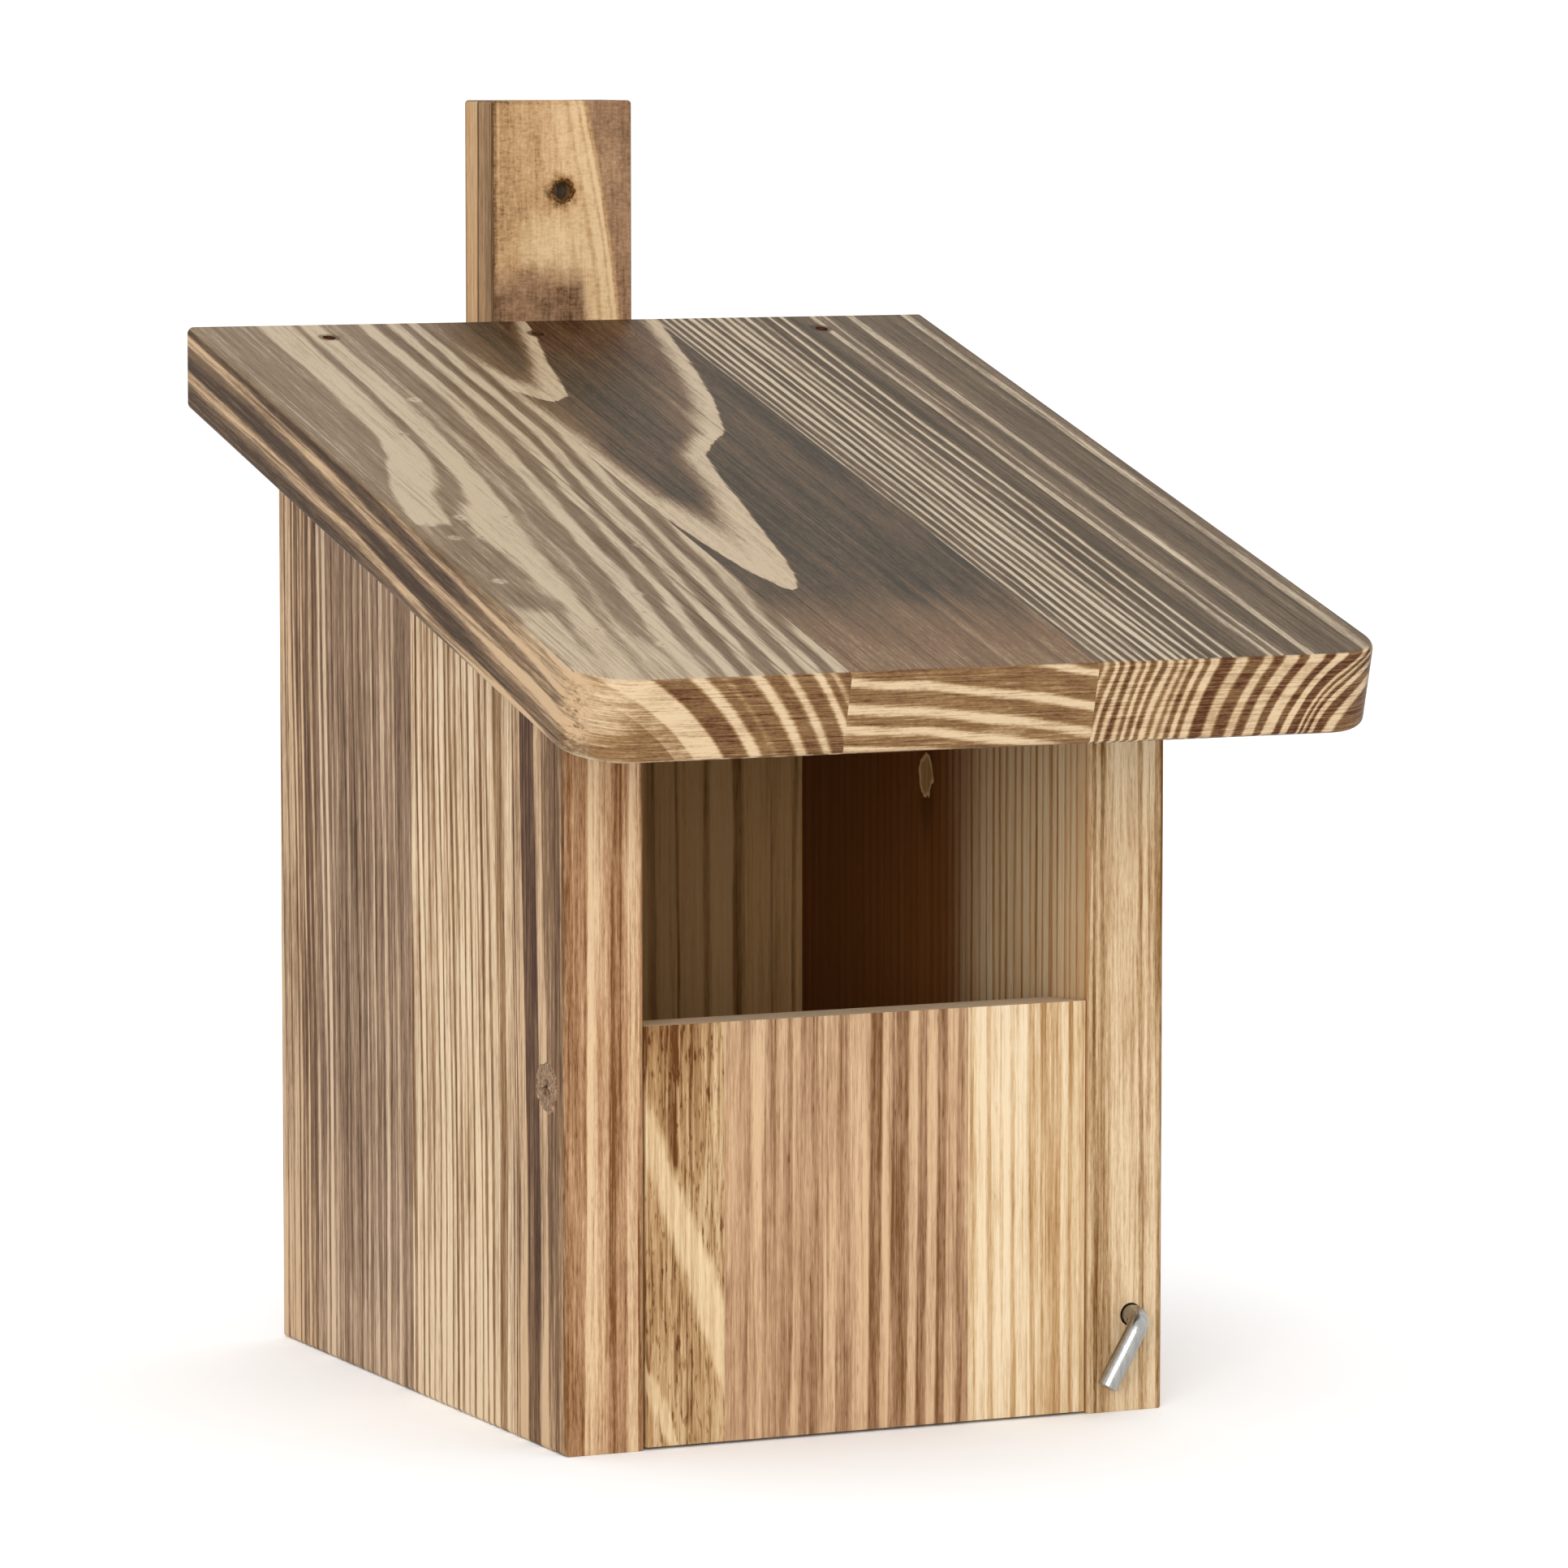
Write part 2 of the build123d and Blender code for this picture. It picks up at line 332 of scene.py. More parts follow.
def sawn(board, contrast=1.0):
    """The saw's marks across an end or edge: fine lines level with the face, and a rough mottle."""
    marks = board.noise(14.0, 14.0, 3.0, 0.75, 0.4)
    rough = board.noise(1.2, 1.2, 3.0, 0.7, 0.5)
    scorch = board.noise(12.0, 12.0, 2.0, 0.5, 5.0)
    return (marks * 0.50 + rough * 0.18 + scorch * 0.16) * contrast


def add_relief(tree, shader, height, strength, millimetres):
    """Ends a material with its output and a relief, in which a height of 1 is this many millimetres."""
    bump = tree.nodes.new("ShaderNodeBump")
    bump.inputs["Strength"].default_value = strength
    bump.inputs["Distance"].default_value = millimetres * MM
    feed(bump.inputs["Height"], height)
    tree.links.new(bump.outputs[0], shader.inputs["Normal"])
    out = tree.nodes.new("ShaderNodeOutputMaterial")
    tree.links.new(shader.outputs[0], out.inputs["Surface"])


WARM_TINT = (1.0, 0.94, 0.86, 1.0)
DRY_WOOD_SPECULAR = 0.15


def finish_wood(board, faces, gloss=0.62):
    """The shader, from layers of (share, tone, detail, palette).

    Each layer lies over the ones before it, and the first is everywhere.
    """
    tree = board.tree
    height = None
    shade = None
    for share, tone, detail, palette in faces:
        layer = ramp(tone + detail, palette)
        if shade is None:
            shade, height = layer, tone * 0.8 + detail
        else:
            shade = mix_colours(tree, shade, layer, share)
            height = blend(height, tone * 0.5 + detail, share)
    warm = step(board.noise(22.0, 60.0), -0.9, 0.9)
    shade = mix_colours(tree, shade, WARM_TINT, warm * 0.4, "MULTIPLY")
    shader = tree.nodes.new("ShaderNodeBsdfPrincipled")
    tree.links.new(shade, shader.inputs["Base Color"])
    shader.inputs["Specular IOR Level"].default_value = DRY_WOOD_SPECULAR
    feed(shader.inputs["Roughness"], gloss - height * 0.08)
    add_relief(tree, shader, height, strength=0.4, millimetres=0.4)
    return board.material


RIM_POINTS = 44


def make_torn_rim(name, centre, outward, radius, closed, palette, seed):
    """A ragged ring of lifted fibres round a hole; closed is how far the longest reach in, in radii."""
    draw = random.Random(seed)
    side = outward.orthogonal().normalized()
    up = outward.cross(side)
    shape = bmesh.new()
    rows = []
    for index in range(RIM_POINTS):
        turn = 2 * math.pi * index / RIM_POINTS
        ray = side * math.cos(turn) + up * math.sin(turn)
        torn = draw.uniform(0.0, 1.0)
        inward = closed * (0.45 + 0.55 * torn)
        # each corner of the ring's section: how far out in radii, and how high above the face in mm
        section = (
            (1.02 + 0.26 * torn, -0.02),
            (1.0 + 0.1 * torn, 0.1 + 0.3 * torn),
            (0.95 - inward, 0.25 * torn),
            (0.88 - inward, -0.4),
            (1.0, -0.7),
        )
        row = []
        for reach, lift in section:
            row.append(shape.verts.new(centre + ray * radius * reach + outward * (lift * MM)))
        rows.append(row)
    for index in range(RIM_POINTS):
        here = rows[index]
        following = rows[(index + 1) % RIM_POINTS]
        for corner in range(len(here)):
            other = (corner + 1) % len(here)
            shape.faces.new((here[corner], following[corner], following[other], here[other]))
    bmesh.ops.recalc_face_normals(shape, faces=shape.faces)
    mesh = bpy.data.meshes.new(name)
    shape.to_mesh(mesh)
    shape.free()
    rim = bpy.data.objects.new(name, mesh)
    bpy.context.scene.collection.objects.link(rim)
    board = Board(name, lambda x, y, z: x + y, lambda x, y, z: z, lambda x, y, z: x - y, seed)
    tone = 0.42 + board.noise(0.8, 0.8, 3.0, 0.7) * 0.5
    mesh.materials.append(finish_wood(board, [(1.0, tone, board.noise(0.3, 1.5) * 0.2, palette)]))
    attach(rim, "box")


def dress(node_name, material):
    """Gives a CAD node its finish in every slot."""
    target = frame["nodes"][node_name]
    for place in target.material_slots:
        place.material = material


# ---------------------------------------------------------------- palettes: dark, middle, light

# PANEL_TOP, INNER_OLIVE, INNER_BEIGE and the inner dark brown are for faces in the box's own shade and
# look darker there than these levels say; PANEL_TOP goes past 255 as painted light, paler than its
# wood, for light that the panel's top edge lacks under the roof
SIDE_DARK = [(0.0, colour(84, 60, 44)), (0.5, colour(144, 113, 88)), (1.0, colour(226, 192, 156))]
SIDE_CREAM = [(0.0, colour(112, 78, 52)), (0.5, colour(178, 143, 108)), (1.0, colour(246, 221, 188))]
SIDE_GREY = [(0.0, colour(88, 66, 52)), (0.5, colour(164, 134, 111)), (1.0, colour(232, 203, 172))]
EDGE_TAN = [(0.0, colour(128, 88, 64)), (0.5, colour(194, 152, 118)), (1.0, colour(240, 208, 170))]
EDGE_PALE = [(0.0, colour(128, 92, 60)), (0.5, colour(200, 166, 128)), (1.0, colour(244, 219, 184))]
PANEL_TAN = [(0.0, colour(112, 74, 44)), (0.5, colour(190, 152, 112)), (1.0, colour(246, 218, 178))]
PANEL_PINK = [(0.0, colour(128, 92, 68)), (0.5, colour(190, 152, 122)), (1.0, colour(232, 197, 160))]
PANEL_CREAM = [(0.0, colour(176, 132, 88)), (0.5, colour(222, 188, 146)), (1.0, colour(254, 232, 198))]
PANEL_TOP = [(0.0, colour(250, 220, 182)), (0.5, colour(280, 252, 216)), (1.0, colour(292, 268, 236))]
TORN_DARK = [(0.0, colour(70, 46, 28)), (0.5, colour(116, 82, 54)), (1.0, colour(200, 160, 116))]
ROOF_TAN = [(0.0, colour(112, 92, 74)), (0.5, colour(152, 131, 110)), (1.0, colour(212, 193, 166))]
ROOF_COAL = [(0.0, colour(74, 68, 64)), (0.5, colour(132, 108, 88)), (1.0, colour(214, 194, 166))]
ROOF_SLATE = [(0.0, colour(84, 73, 64)), (0.5, colour(130, 110, 92)), (1.0, colour(222, 204, 178))]
LATH_TAN = [(0.0, colour(104, 78, 62)), (0.5, colour(202, 163, 122)), (1.0, colour(240, 208, 166))]
LATH_BURNT = [(0.0, colour(100, 76, 64)), (0.5, colour(172, 136, 110)), (1.0, colour(214, 180, 146))]
INNER_OLIVE = [(0.0, colour(140, 102, 66)), (0.5, colour(236, 186, 130)), (1.0, colour(252, 218, 164))]
INNER_BEIGE = [(0.0, colour(154, 108, 70)), (0.5, colour(236, 190, 142)), (1.0, colour(255, 233, 196))]
INNER_DARK_BROWN = [(0.0, colour(96, 66, 52)), (0.5, colour(146, 96, 68)), (1.0, colour(172, 122, 84))]


# ---------------------------------------------------------------- the sides


def side_board(name, mirrored, stripes, edge_stripes, palette, edge_palette, start, seed, knot=None):
    """A lamella of a side: stripes from back to front outside, others inside and on its edges."""
    outward = 1.0 if mirrored else -1.0
    board = Board(
        name,
        across=lambda x, y, z: BACK_Y - y,
        along=lambda x, y, z: z,
        depth=lambda x, y, z: HALF_WIDTH - x * outward,
        seed=seed,
    )
    waver = board.noise(9.0, 90.0, 2.0, thickness=30.0) * 0.8
    waver = waver + board.noise(2.0, 30.0, 1.0, thickness=30.0) * 0.2
    upward = step(board.along, 40.0, 190.0)
    place = board.across + upward * 4.0 + waver + board.depth * 0.12
    grain = long_grain(board)
    tone = bands(place, start, stripes) + step(board.along, 60.0, 0.0) * 0.22
    edge_place = board.depth + board.noise(5.0, 80.0) * 0.4 - board.along * 0.006
    edge = bands(edge_place, 0.0, edge_stripes) + board.noise(0.35, 2.5, 2.0, 0.8) * 0.16
    end = step(size_of(board.facing[1]), 0.5, 0.9)
    inside = step(board.depth, BOARD - 0.6, BOARD - 0.1)
    inner_stripes = rings(0.0, BOX_DEPTH, 3.4, 0.74, 0.78, 0.22, 17)
    inner = bands(board.across + waver * 0.5, 0.0, inner_stripes, 0.3)
    # inside, the sides turn dark red-brown towards the back
    inner_dark_place = board.across + board.noise(6.0, 60.0) * 2.5
    inner_dark = step(inner_dark_place, INNER_DARK_FROM + INNER_DARK_FADE, INNER_DARK_FROM - INNER_DARK_FADE)
    faces = [
        (1.0, tone, grain, palette),
        (inside, inner, grain * 0.5, INNER_BEIGE),
        (inside * inner_dark, inner * 0.3 + 0.32, grain * 0.3, INNER_DARK_BROWN),
        (end, edge, grain, edge_palette),
    ]
    if knot:
        across, along = knot
        halo = step(board.knot(across, along, 5.0, 3.2), 1.2, 0.3) * 0.7
        spike = board.knot(across, along, 3.3, 1.4) + board.noise(1.8, 2.4) * 0.24
        rim = blend(0.34, 0.9, step(spike, 0.74, 0.95)) - step(spike, 1.0, 1.1) * 0.7
        faces += [
            (inside * halo, inner * 0.1, grain * 0.2, INNER_DARK_BROWN),
            (inside * step(spike, 1.15, 1.05), rim, grain * 0.3, INNER_OLIVE),
        ]
    return finish_wood(board, faces)


def dress_sides():
    left_edge = [
        (1.0, 0.15), (4.6, 0.35), (7.2, 0.95), (9.8, 0.55), (12.6, 0.25), (13.8, 0.4), (16.4, 0.85),
        (18.0, 0.35),
    ]
    right_edge = [
        (1.5, 0.3), (4.4, 0.85), (5.6, 0.35), (12.0, 0.8), (13.5, 0.6), (14.5, 0.2), (15.5, 0.55),
        (16.2, 0.2), (18.0, 0.6),
    ]
    plain = [(18.0, 0.5)]
    lamella_4 = [
        (3.4, 0.9), (4.4, 0.45), (7.5, 0.76), (8.2, 0.45), (11.6, 0.76), (12.6, 0.2), (13.7, 0.95),
        (15.4, 0.3), (16.2, 0.6), (17.0, 0.3), (18.2, 0.95), (19.6, 0.25), (20.6, 0.6), (22.4, 0.2),
        (24.0, 0.65), (30.0, 0.3),
    ]
    lamella_3 = [
        (24.4, 0.6), (27.6, 0.3), (29.0, 0.9), (30.4, 0.3), (32.4, 0.95), (34.0, 0.3), (35.2, 0.6),
        (36.4, 0.25), (38.6, 0.45), (42.4, 0.3), (43.2, 0.05), (45.4, 0.45), (48.4, 0.3),
        (49.4, 0.02), (51.6, 0.5), (53.2, 0.28), (54.2, 0.72), (55.4, 0.3), (58.0, 0.46),
        (59.2, 0.85), (60.6, 0.3), (63.0, 0.5), (64.0, 0.22), (66.0, 0.8), (67.4, 0.34),
        (69.6, 0.55), (70.8, 0.3), (72.4, 0.78), (74.0, 0.4), (76.0, 0.2), (84.0, 0.4),
    ]
    lamella_2 = [(77.0, 0.3), (79.6, 0.85), (81.2, 0.15), (84.4, 0.8), (85.4, 0.2)]
    lamella_2 += rings(85.4, 128.0, 3.3, 0.66, 0.9, 0.32, 11)
    lamella_2 += [(132.0, 0.3), (141.0, 0.7)]
    lamella_1 = [
        (130.0, 0.3), (131.4, 0.6), (132.4, 0.25), (134.4, 0.8), (135.2, 0.3), (136.6, 0.8),
        (137.2, 0.3), (138.0, 0.8), (138.6, 0.3), (142.6, 0.9), (149.6, 0.12), (153.6, 0.86),
        (157.0, 0.46), (160.0, 0.34), (164.6, 0.4), (170.0, 0.6),
    ]
    starts = (128.0, 74.0, 20.0, 0.0)
    layouts = (lamella_1, lamella_2, lamella_3, lamella_4)
    palettes = (SIDE_DARK, SIDE_CREAM, SIDE_GREY, SIDE_DARK)
    for index in range(LAMELLAS):
        number = index + 1
        in_front = number == 1
        left = side_board(
            f"side_left_wood_{number}", False, layouts[index], left_edge if in_front else plain,
            palettes[index], EDGE_TAN, starts[index], number)
        dress(f"side_left_lamella_{number}", left)
        knot = INNER_KNOT if number == 2 else None
        right = side_board(
            f"side_right_wood_{number}", True, layouts[index], right_edge if in_front else plain,
            palettes[(index + 1) % LAMELLAS], EDGE_PALE, starts[index], 10 + number, knot)
        dress(f"side_right_lamella_{number}", right)


# ---------------------------------------------------------------- back, floor, lath


def dress_back_and_floor():
    back = Board(
        "back_wood", lambda x, y, z: x + HALF_WIDTH, lambda x, y, z: z, lambda x, y, z: BACK_Y - y, 21)
    place = back.across + back.noise(12.0, 90.0) * 1.2
    stripes = rings(0.0, 140.0, 7.0, 0.86, 0.56, 0.22, 5)
    outer_stripes = rings(0.0, 140.0, 4.4, 0.62, 0.86, 0.30, 9)
    outside = larger(step(back.depth, 1.0, 0.3), step(size_of(back.facing[2]), 0.5, 0.9))
    faces = [
        (1.0, bands(place, 0.0, stripes), long_grain(back, 0.4), INNER_OLIVE),
        (outside, bands(place, 0.0, outer_stripes), long_grain(back), SIDE_GREY),
    ]
    dress("back_panel", finish_wood(back, faces))
    floor = Board("floor_wood", lambda x, y, z: y - FRONT_Y, lambda x, y, z: x, lambda x, y, z: z, 22)
    place = floor.across + floor.noise(12.0, 90.0) * 1.5
    stripes = rings(0.0, 160.0, 5.0, 0.6, 0.8, 0.35, 6)
    faces = [(1.0, bands(place, 0.0, stripes), long_grain(floor, 0.6), SIDE_CREAM)]
    dress("floor_panel", finish_wood(floor, faces))


def dress_lath():
    board = Board(
        "lath_wood", lambda x, y, z: x - lath_low.x / MM, lambda x, y, z: lath_high.z / MM - z,
        lambda x, y, z: y - lath_low.y / MM, 31)
    slant = curve(board.along, [(0.0, 22.0), (20.0, 25.8), (36.0, 28.6), (50.0, 30.2), (216.0, 33.0)])
    place = board.across - slant + board.noise(5.0, 60.0) * 0.4
    stripes = [
        (-18.0, 0.46), (-12.0, 0.54), (-8.0, 0.66), (-4.6, 0.84), (-3.6, 0.66), (-1.6, 0.95),
        (-1.0, 0.7), (0.0, 1.0), (1.0, 0.5), (4.0, 0.42), (14.0, 0.3),
    ]
    tone = bands(place, -34.0, stripes, 0.6)
    burnt = step(board.along + board.noise(9.0, 6.0) * 3.0, 35.0, 44.0) * step(place, -5.5, -9.0)
    corner = step(board.along - board.across + board.noise(7.0, 9.0) * 4.0, -18.0, -26.0)
    pale = board.knot(12.0, 32.0, 9.0, 0.8)
    chatter = board.noise(1.6, 0.7, 3.0, 0.75) * 0.26
    mottle = chatter + board.noise(0.8, 2.4, 2.0, 0.7) * 0.16 + board.noise(6.0, 5.0, 2.0) * 0.14
    hole = board.knot(17.0, 20.5, 2.5)
    smudge = step(hole + board.noise(2.0, 2.0) * 0.35, 2.0, 1.0)
    tone = tone + step(pale, 1.3, 0.3) * 0.34 - smudge * 0.5
    tone = tone - step(board.across, 1.3, 0.4) * 0.3 - step(board.along, 1.6, 0.5) * 0.2
    brown = larger(burnt, step(place, 0.4, 1.4))
    shaded = step(place, 0.5, 2.5) * step(board.along, 30.0, 54.0)
    brown_tone = 0.5 - corner * 0.14 - shaded * 0.2 - burnt * 0.26 + board.noise(7.0, 12.0) * 0.1
    side = step(size_of(board.facing[0]), 0.5, 0.9)
    side_tone = bands(board.depth + board.noise(6.0, 60.0) * 0.4, -1.0, [
        (1.2, 0.0), (5.0, 0.2), (8.4, 0.28), (9.2, 0.0), (13.0, 0.56), (15.5, 0.5), (18.0, 0.3),
    ])
    faces = [
        (1.0, tone, mottle + long_grain(board, 0.3), LATH_TAN),
        (brown, brown_tone, mottle + long_grain(board, 0.3), LATH_BURNT),
        (side, side_tone, long_grain(board, 0.6), LATH_TAN),
    ]
    dress("hanging_lath", finish_wood(board, faces))


# ---------------------------------------------------------------- the front panel


def panel_board(name, seed):
    return Board(
        name, lambda x, y, z: x + HALF_WIDTH, lambda x, y, z: z, lambda x, y, z: y - FRONT_Y, seed)


def finish_panel(board, tone, palette, contrast=1.0):
    """The panel's sawn top edge is pale, whatever the face below it is, and paler still with painted
    light for the light that it lacks under the roof.
    """
    top = step(board.facing[2], 0.6, 0.95)
    faces = [(1.0, tone, long_grain(board, contrast), palette),
             (top, tone * 0.3 + 0.5, board.noise(2.0, 2.0, 3.0) * 0.2, PANEL_TOP)]
    return finish_wood(board, faces)


def dress_front_left():
    board = panel_board("front_left_wood", 41)
    ragged = board.noise(1.2, 26.0, 3.0, 0.7) * 3.0 + board.noise(0.6, 8.0, 2.0) * 1.2
    top_of_band = curve(board.across, [(18.0, 76.0), (25.0, 58.0), (31.0, 44.0), (37.0, 30.0)]) + ragged
    under = curve(board.across, [(18.0, 59.0), (23.0, 46.0), (28.0, 31.0), (37.0, 6.0)]) + ragged
    band = step(top_of_band - board.along, -2.0, 4.0) * step(board.along - under, -2.0, 5.0)
    lower = curve(board.across, [(18.0, 18.0), (23.0, 9.0), (26.0, 0.0), (37.0, -30.0)]) + ragged
    low_band = step(lower - board.along, -1.0, 1.5) * step(board.along - lower + 7.0, -1.0, 1.5)
    streaks = step(board.noise(0.9, 22.0, 3.0, 0.7), -0.05, 0.5) * 0.42
    specks = step(board.noise(0.7, 4.0, 2.0, 0.6), 0.15, 0.6) * 0.34
    seam = step(size_of(board.across - 24.5 + board.noise(3.0, 20.0) * 0.6), 1.5, 0.5)
    seam = seam * step(board.along, 34.0, 62.0)
    tone = 0.58 - streaks - specks - seam * 0.4 + board.noise(3.0, 30.0) * 0.16
    strip = step(board.across + board.noise(2.0, 20.0) * 0.6, 32.0, 34.0)
    strip = strip * step(board.along - top_of_band, 0.0, 12.0)
    top_char = step(board.along + board.noise(3.0, 10.0) * 6.0, 74.0, 86.0)
    top_char = top_char * step(board.across, 33.0, 29.0)
    tone = tone + strip * 0.18 - top_char * 0.22
    tone = blend(blend(tone, 0.9, band * 0.92), 0.86, low_band * 0.9)
    dress("front_lamella_left", finish_panel(board, tone, PANEL_TAN, 0.6))


def dress_front_centre():
    board = panel_board("front_centre_wood", 42)
    place = board.across + board.noise(6.0, 90.0) * 0.5 - board.along * 0.01
    stripes = [
        (40.0, 0.62), (42.0, 0.5), (44.4, 0.74), (47.2, 0.48), (48.6, 0.74), (51.0, 0.42),
        (52.6, 0.7), (55.0, 0.44), (57.0, 0.2), (58.0, 0.45), (61.0, 0.72), (63.0, 0.42),
        (65.0, 0.54), (68.6, 0.76), (71.4, 0.22), (73.6, 0.9), (77.6, 0.26), (79.6, 0.8),
        (82.0, 0.22), (84.2, 0.84), (86.6, 0.2), (89.0, 0.72), (90.4, 0.26), (91.4, 0.6),
        (94.0, 0.26),
    ]
    tone = bands(place, 34.0, stripes) + board.noise(2.2, 6.0) * 0.06 + 0.04
    dress("front_lamella_centre", finish_panel(board, tone, PANEL_PINK))


def dress_front_right():
    board = panel_board("front_right_wood", 43)
    place = board.across + board.noise(6.0, 90.0) * 0.4 + board.along * 0.004
    stripes = [
        (94.0, 0.7), (96.6, 0.9), (97.8, 0.42), (102.4, 0.9), (103.4, 0.42), (106.6, 0.86),
        (108.0, 0.38), (109.4, 0.7), (114.0, 0.32), (115.6, 0.75), (116.6, 0.3), (118.0, 0.7),
        (122.0, 0.5),
    ]
    tone = bands(place, 90.0, stripes) + step(board.along, 20.0, 80.0) * 0.08
    dress("front_lamella_right", finish_panel(board, tone, PANEL_CREAM))


# ---------------------------------------------------------------- the roof


def roof_board(name, seed):
    """Roof coordinates: across from the left, along up the slope from the front, depth from the top."""
    lean = math.sin(ROOF_PITCH)
    rise = math.cos(ROOF_PITCH)
    return Board(
        name,
        across=lambda x, y, z: x + ROOF_HALF_WIDTH,
        along=lambda x, y, z: (y - ROOF_FRONT_Y) * rise + (z - ROOF_FRONT_Z) * lean,
        depth=lambda x, y, z: (y - ROOF_FRONT_Y) * lean - (z - ROOF_FRONT_Z) * rise,
        seed=seed,
    )


ROOF_EDGE_TAN = [(0.0, colour(92, 60, 34)), (0.5, colour(160, 127, 94)), (1.0, colour(234, 208, 173))]
ROOF_SIDE_TAN = [(0.0, colour(78, 62, 48)), (0.5, colour(136, 110, 88)), (1.0, colour(214, 182, 146))]


def finish_roof(board, top_tone, edge_tone, side_tone, palette, contrast=0.7, patches=()):
    """The top is scorched and weathered, with browner patches, and part of its grey is a painted sheen;
    the sawn edges and the sides are brown.
    """
    end = step(size_of(board.facing[1]), 0.35, 0.75)
    side = step(size_of(board.facing[0]), 0.55, 0.95)
    grain = long_grain(board, contrast)
    # painted shade: the wood is darkened round each nail, for the shade inside its hole
    nail_hole_shade = 0.0
    for x in NAIL_PLACES:
        nail = board.knot(x + ROOF_HALF_WIDTH, NAIL_ALONG, NAIL_MARK_RADIUS)
        nail_hole_shade = larger(nail_hole_shade, step(nail, 1.5, 0.9))
    coarse = grain + scorched(board, 1.0 - contrast)
    faces = [(1.0, top_tone - nail_hole_shade * 0.6, coarse, palette)]
    faces += [(share, tone, coarse, SIDE_DARK) for share, tone in patches]
    faces += [
        (end, edge_tone - nail_hole_shade * 0.9, sawn(board), ROOF_EDGE_TAN),
        (side, side_tone - nail_hole_shade * 0.9, grain * 1.2, ROOF_SIDE_TAN),
    ]
    return finish_wood(board, faces, gloss=0.55)


def dress_roof_left():
    board = roof_board("roof_left_wood", 51)
    drift = curve(board.along, [
        (0.0, 17.5), (30.0, 14.5), (60.0, 10.5), (100.0, 6.6), (120.0, 4.2), (150.0, 1.2),
        (180.0, 0.0), (235.0, -0.5),
    ])
    share = 1.1 - board.across * (0.35 / 57.5)
    swing = step(board.along, 160.0, 108.0) * step(board.across, 24.0, 10.0)
    swing = swing * step(board.along, 30.0, 80.0) * 6.5
    waver = board.noise(7.0, 34.0, 2.0, thickness=40.0)
    waver = waver + board.noise(1.4, 24.0, 2.0, thickness=40.0) * 0.35
    surface = board.across + drift * share + swing + waver
    stripes = [
        (5.0, 0.42), (16.0, 0.44), (23.6, 1.0), (25.8, 0.36), (30.8, 1.0), (33.4, 0.46),
        (34.4, 0.66), (39.8, 0.38), (43.4, 0.98), (46.6, 0.24), (49.2, 0.95), (51.6, 0.24),
        (54.4, 0.95), (57.0, 0.24), (59.6, 0.92), (62.2, 0.24), (65.0, 0.92), (67.4, 0.24),
        (70.2, 0.92), (80.0, 0.24),
    ]
    tone = bands(surface, 0.0, stripes, 1.0)
    patch = step(board.along + board.noise(5.0, 6.0) * 3.0, 98.0, 94.0)
    patch = patch * step(board.along + board.noise(6.0, 14.0) * 8.0, 32.0, 50.0)
    patch = patch * step(board.across + board.noise(4.0, 12.0) * 2.0, 15.0, 11.0)
    tone = blend(tone, 0.40 + board.noise(2.5, 12.0) * 0.16, patch)
    pale_corner = step(board.along + board.noise(6.0, 20.0) * 6.0, 48.0, 4.0)
    pale_corner = pale_corner * step(board.across, 38.0, 20.0)
    tone = blend(tone, 0.92, pale_corner * 0.75)
    eyes = [
        (7.0, 87.0), (13.0, 87.0), (6.0, 60.0), (21.0, 154.0), (23.0, 99.0), (13.0, 99.5),
        (33.0, 177.0), (45.0, 79.0), (32.0, 50.0), (29.0, 39.0), (15.0, 30.0), (25.0, 20.0),
    ]
    for across, along in eyes:
        eye = board.knot(across, along, 1.5)
        tone = blend(tone, 0.95, step(eye, 1.6, 0.5) * 0.8)
        tone = tone - step(eye, 0.45, 0.2) * 0.25
    pith_depth = 50.0
    reach = board.across + 17.5
    arc = reach * reach - board.depth * (2 * pith_depth) + board.depth * board.depth
    place = signed_root(arc)
    edge = bands(place, -34.0, [
        (8.0, 0.35), (20.0, 0.6), (31.5, 0.98), (39.6, 0.24), (43.2, 0.95), (46.6, 0.3),
        (47.6, 0.44), (52.8, 0.26), (55.6, 0.95), (60.0, 0.26), (62.0, 0.9), (66.6, 0.24),
        (68.4, 0.95), (70.4, 0.3), (71.4, 0.7), (80.0, 0.2),
    ], 1.4)
    knot_across, knot_along, knot_depth = ROOF_KNOT
    knot_x = (board.across - knot_across) * 0.11
    knot_y = (board.along - knot_along) * 0.11
    knot_z = (board.depth - knot_depth) * 0.15
    star = step(arithmetic("SQRT", knot_x * knot_x + knot_y * knot_y + knot_z * knot_z), 1.25, 0.35)
    fall = curve(board.along, [
        (0.0, 9.0), (25.0, 6.5), (80.0, 4.4), (130.0, 1.6), (180.0, 0.4), (235.0, 0.0),
    ])
    side_tone = bands(board.depth - fall + board.noise(9.0, 60.0) * 0.5, -10.0, [
        (-6.0, 0.8), (-3.0, 0.34), (-1.6, 0.66), (1.8, 0.1), (4.4, 0.76), (5.8, 0.3), (9.4, 0.02),
        (11.8, 0.8), (13.4, 0.3), (18.0, 0.06),
    ], 0.8)
    golden = step(board.along, 75.0, 25.0) * 0.46
    side_tone = blend(side_tone + golden, 0.85, star)
    edge = blend(edge, 0.9, star * 0.8)
    dress("roof_plank_left", finish_roof(board, tone, edge, side_tone, ROOF_TAN))


